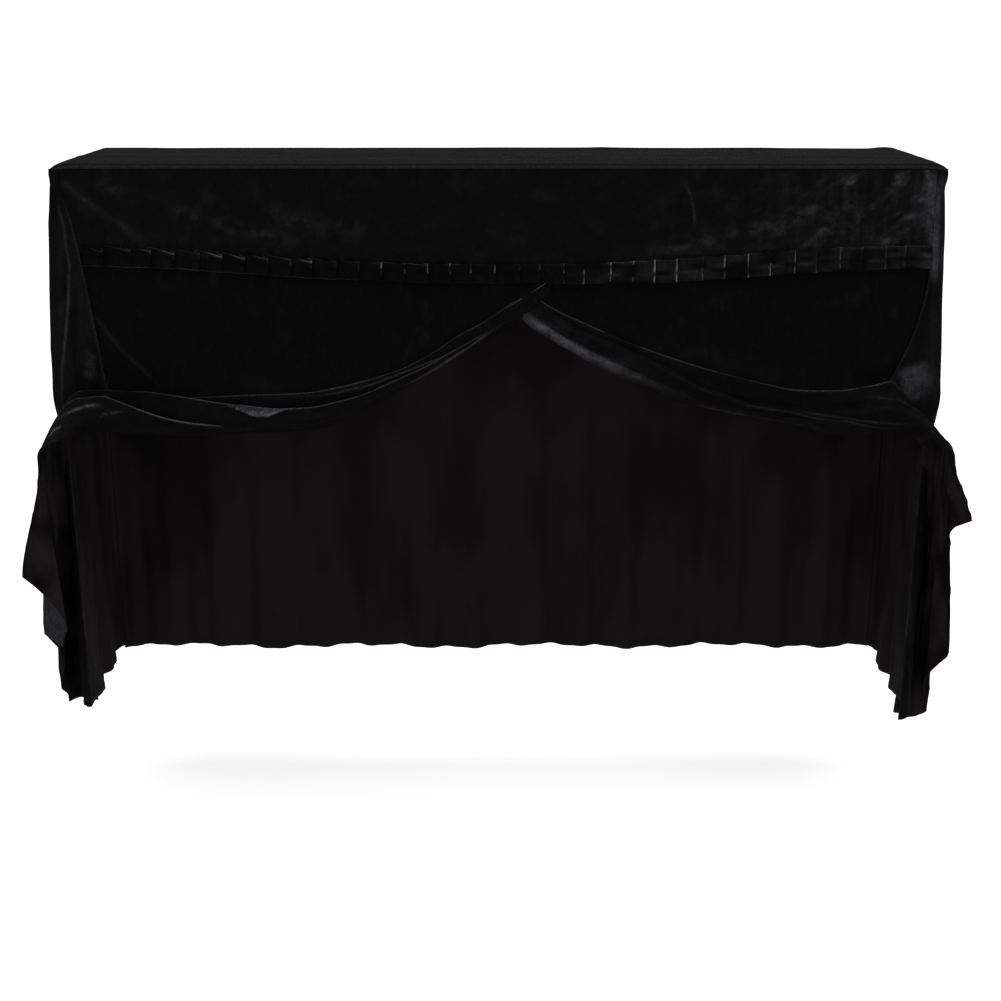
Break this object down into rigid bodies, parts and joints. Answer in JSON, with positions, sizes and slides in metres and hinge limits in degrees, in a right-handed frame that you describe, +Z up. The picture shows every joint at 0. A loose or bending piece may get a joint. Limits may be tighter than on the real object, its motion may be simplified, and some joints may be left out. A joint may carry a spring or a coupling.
{
  "type": "fitted piano cover",
  "caption": "Black velvet cover for an upright piano, with a pleated ruffle and two front curtains drawn aside over the keyboard ledge.",
  "frame": {"origin": "middle of the underside of the top panel, where it lies on the lid", "axes": "+X to the right along the lid as the player sees it, +Y towards the back, +Z up"},
  "size_m": [1.6676, 0.4943, 1.0528],
  "materials": {
    "black_velvet": "deep pile, soft grey sheen at grazing angles",
    "black_velvet_ruffle": "deep pile, pressed into knife pleats"
  },
  "bodies": {
    "root": {"top_panel": "black_velvet", "back_panel": "black_velvet", "side_panel_left": "black_velvet", "side_panel_right": "black_velvet", "valance": "black_velvet", "ruffle": "black_velvet_ruffle", "curtain_left": "black_velvet", "curtain_right": "black_velvet"}
  },
  "joints": []
}
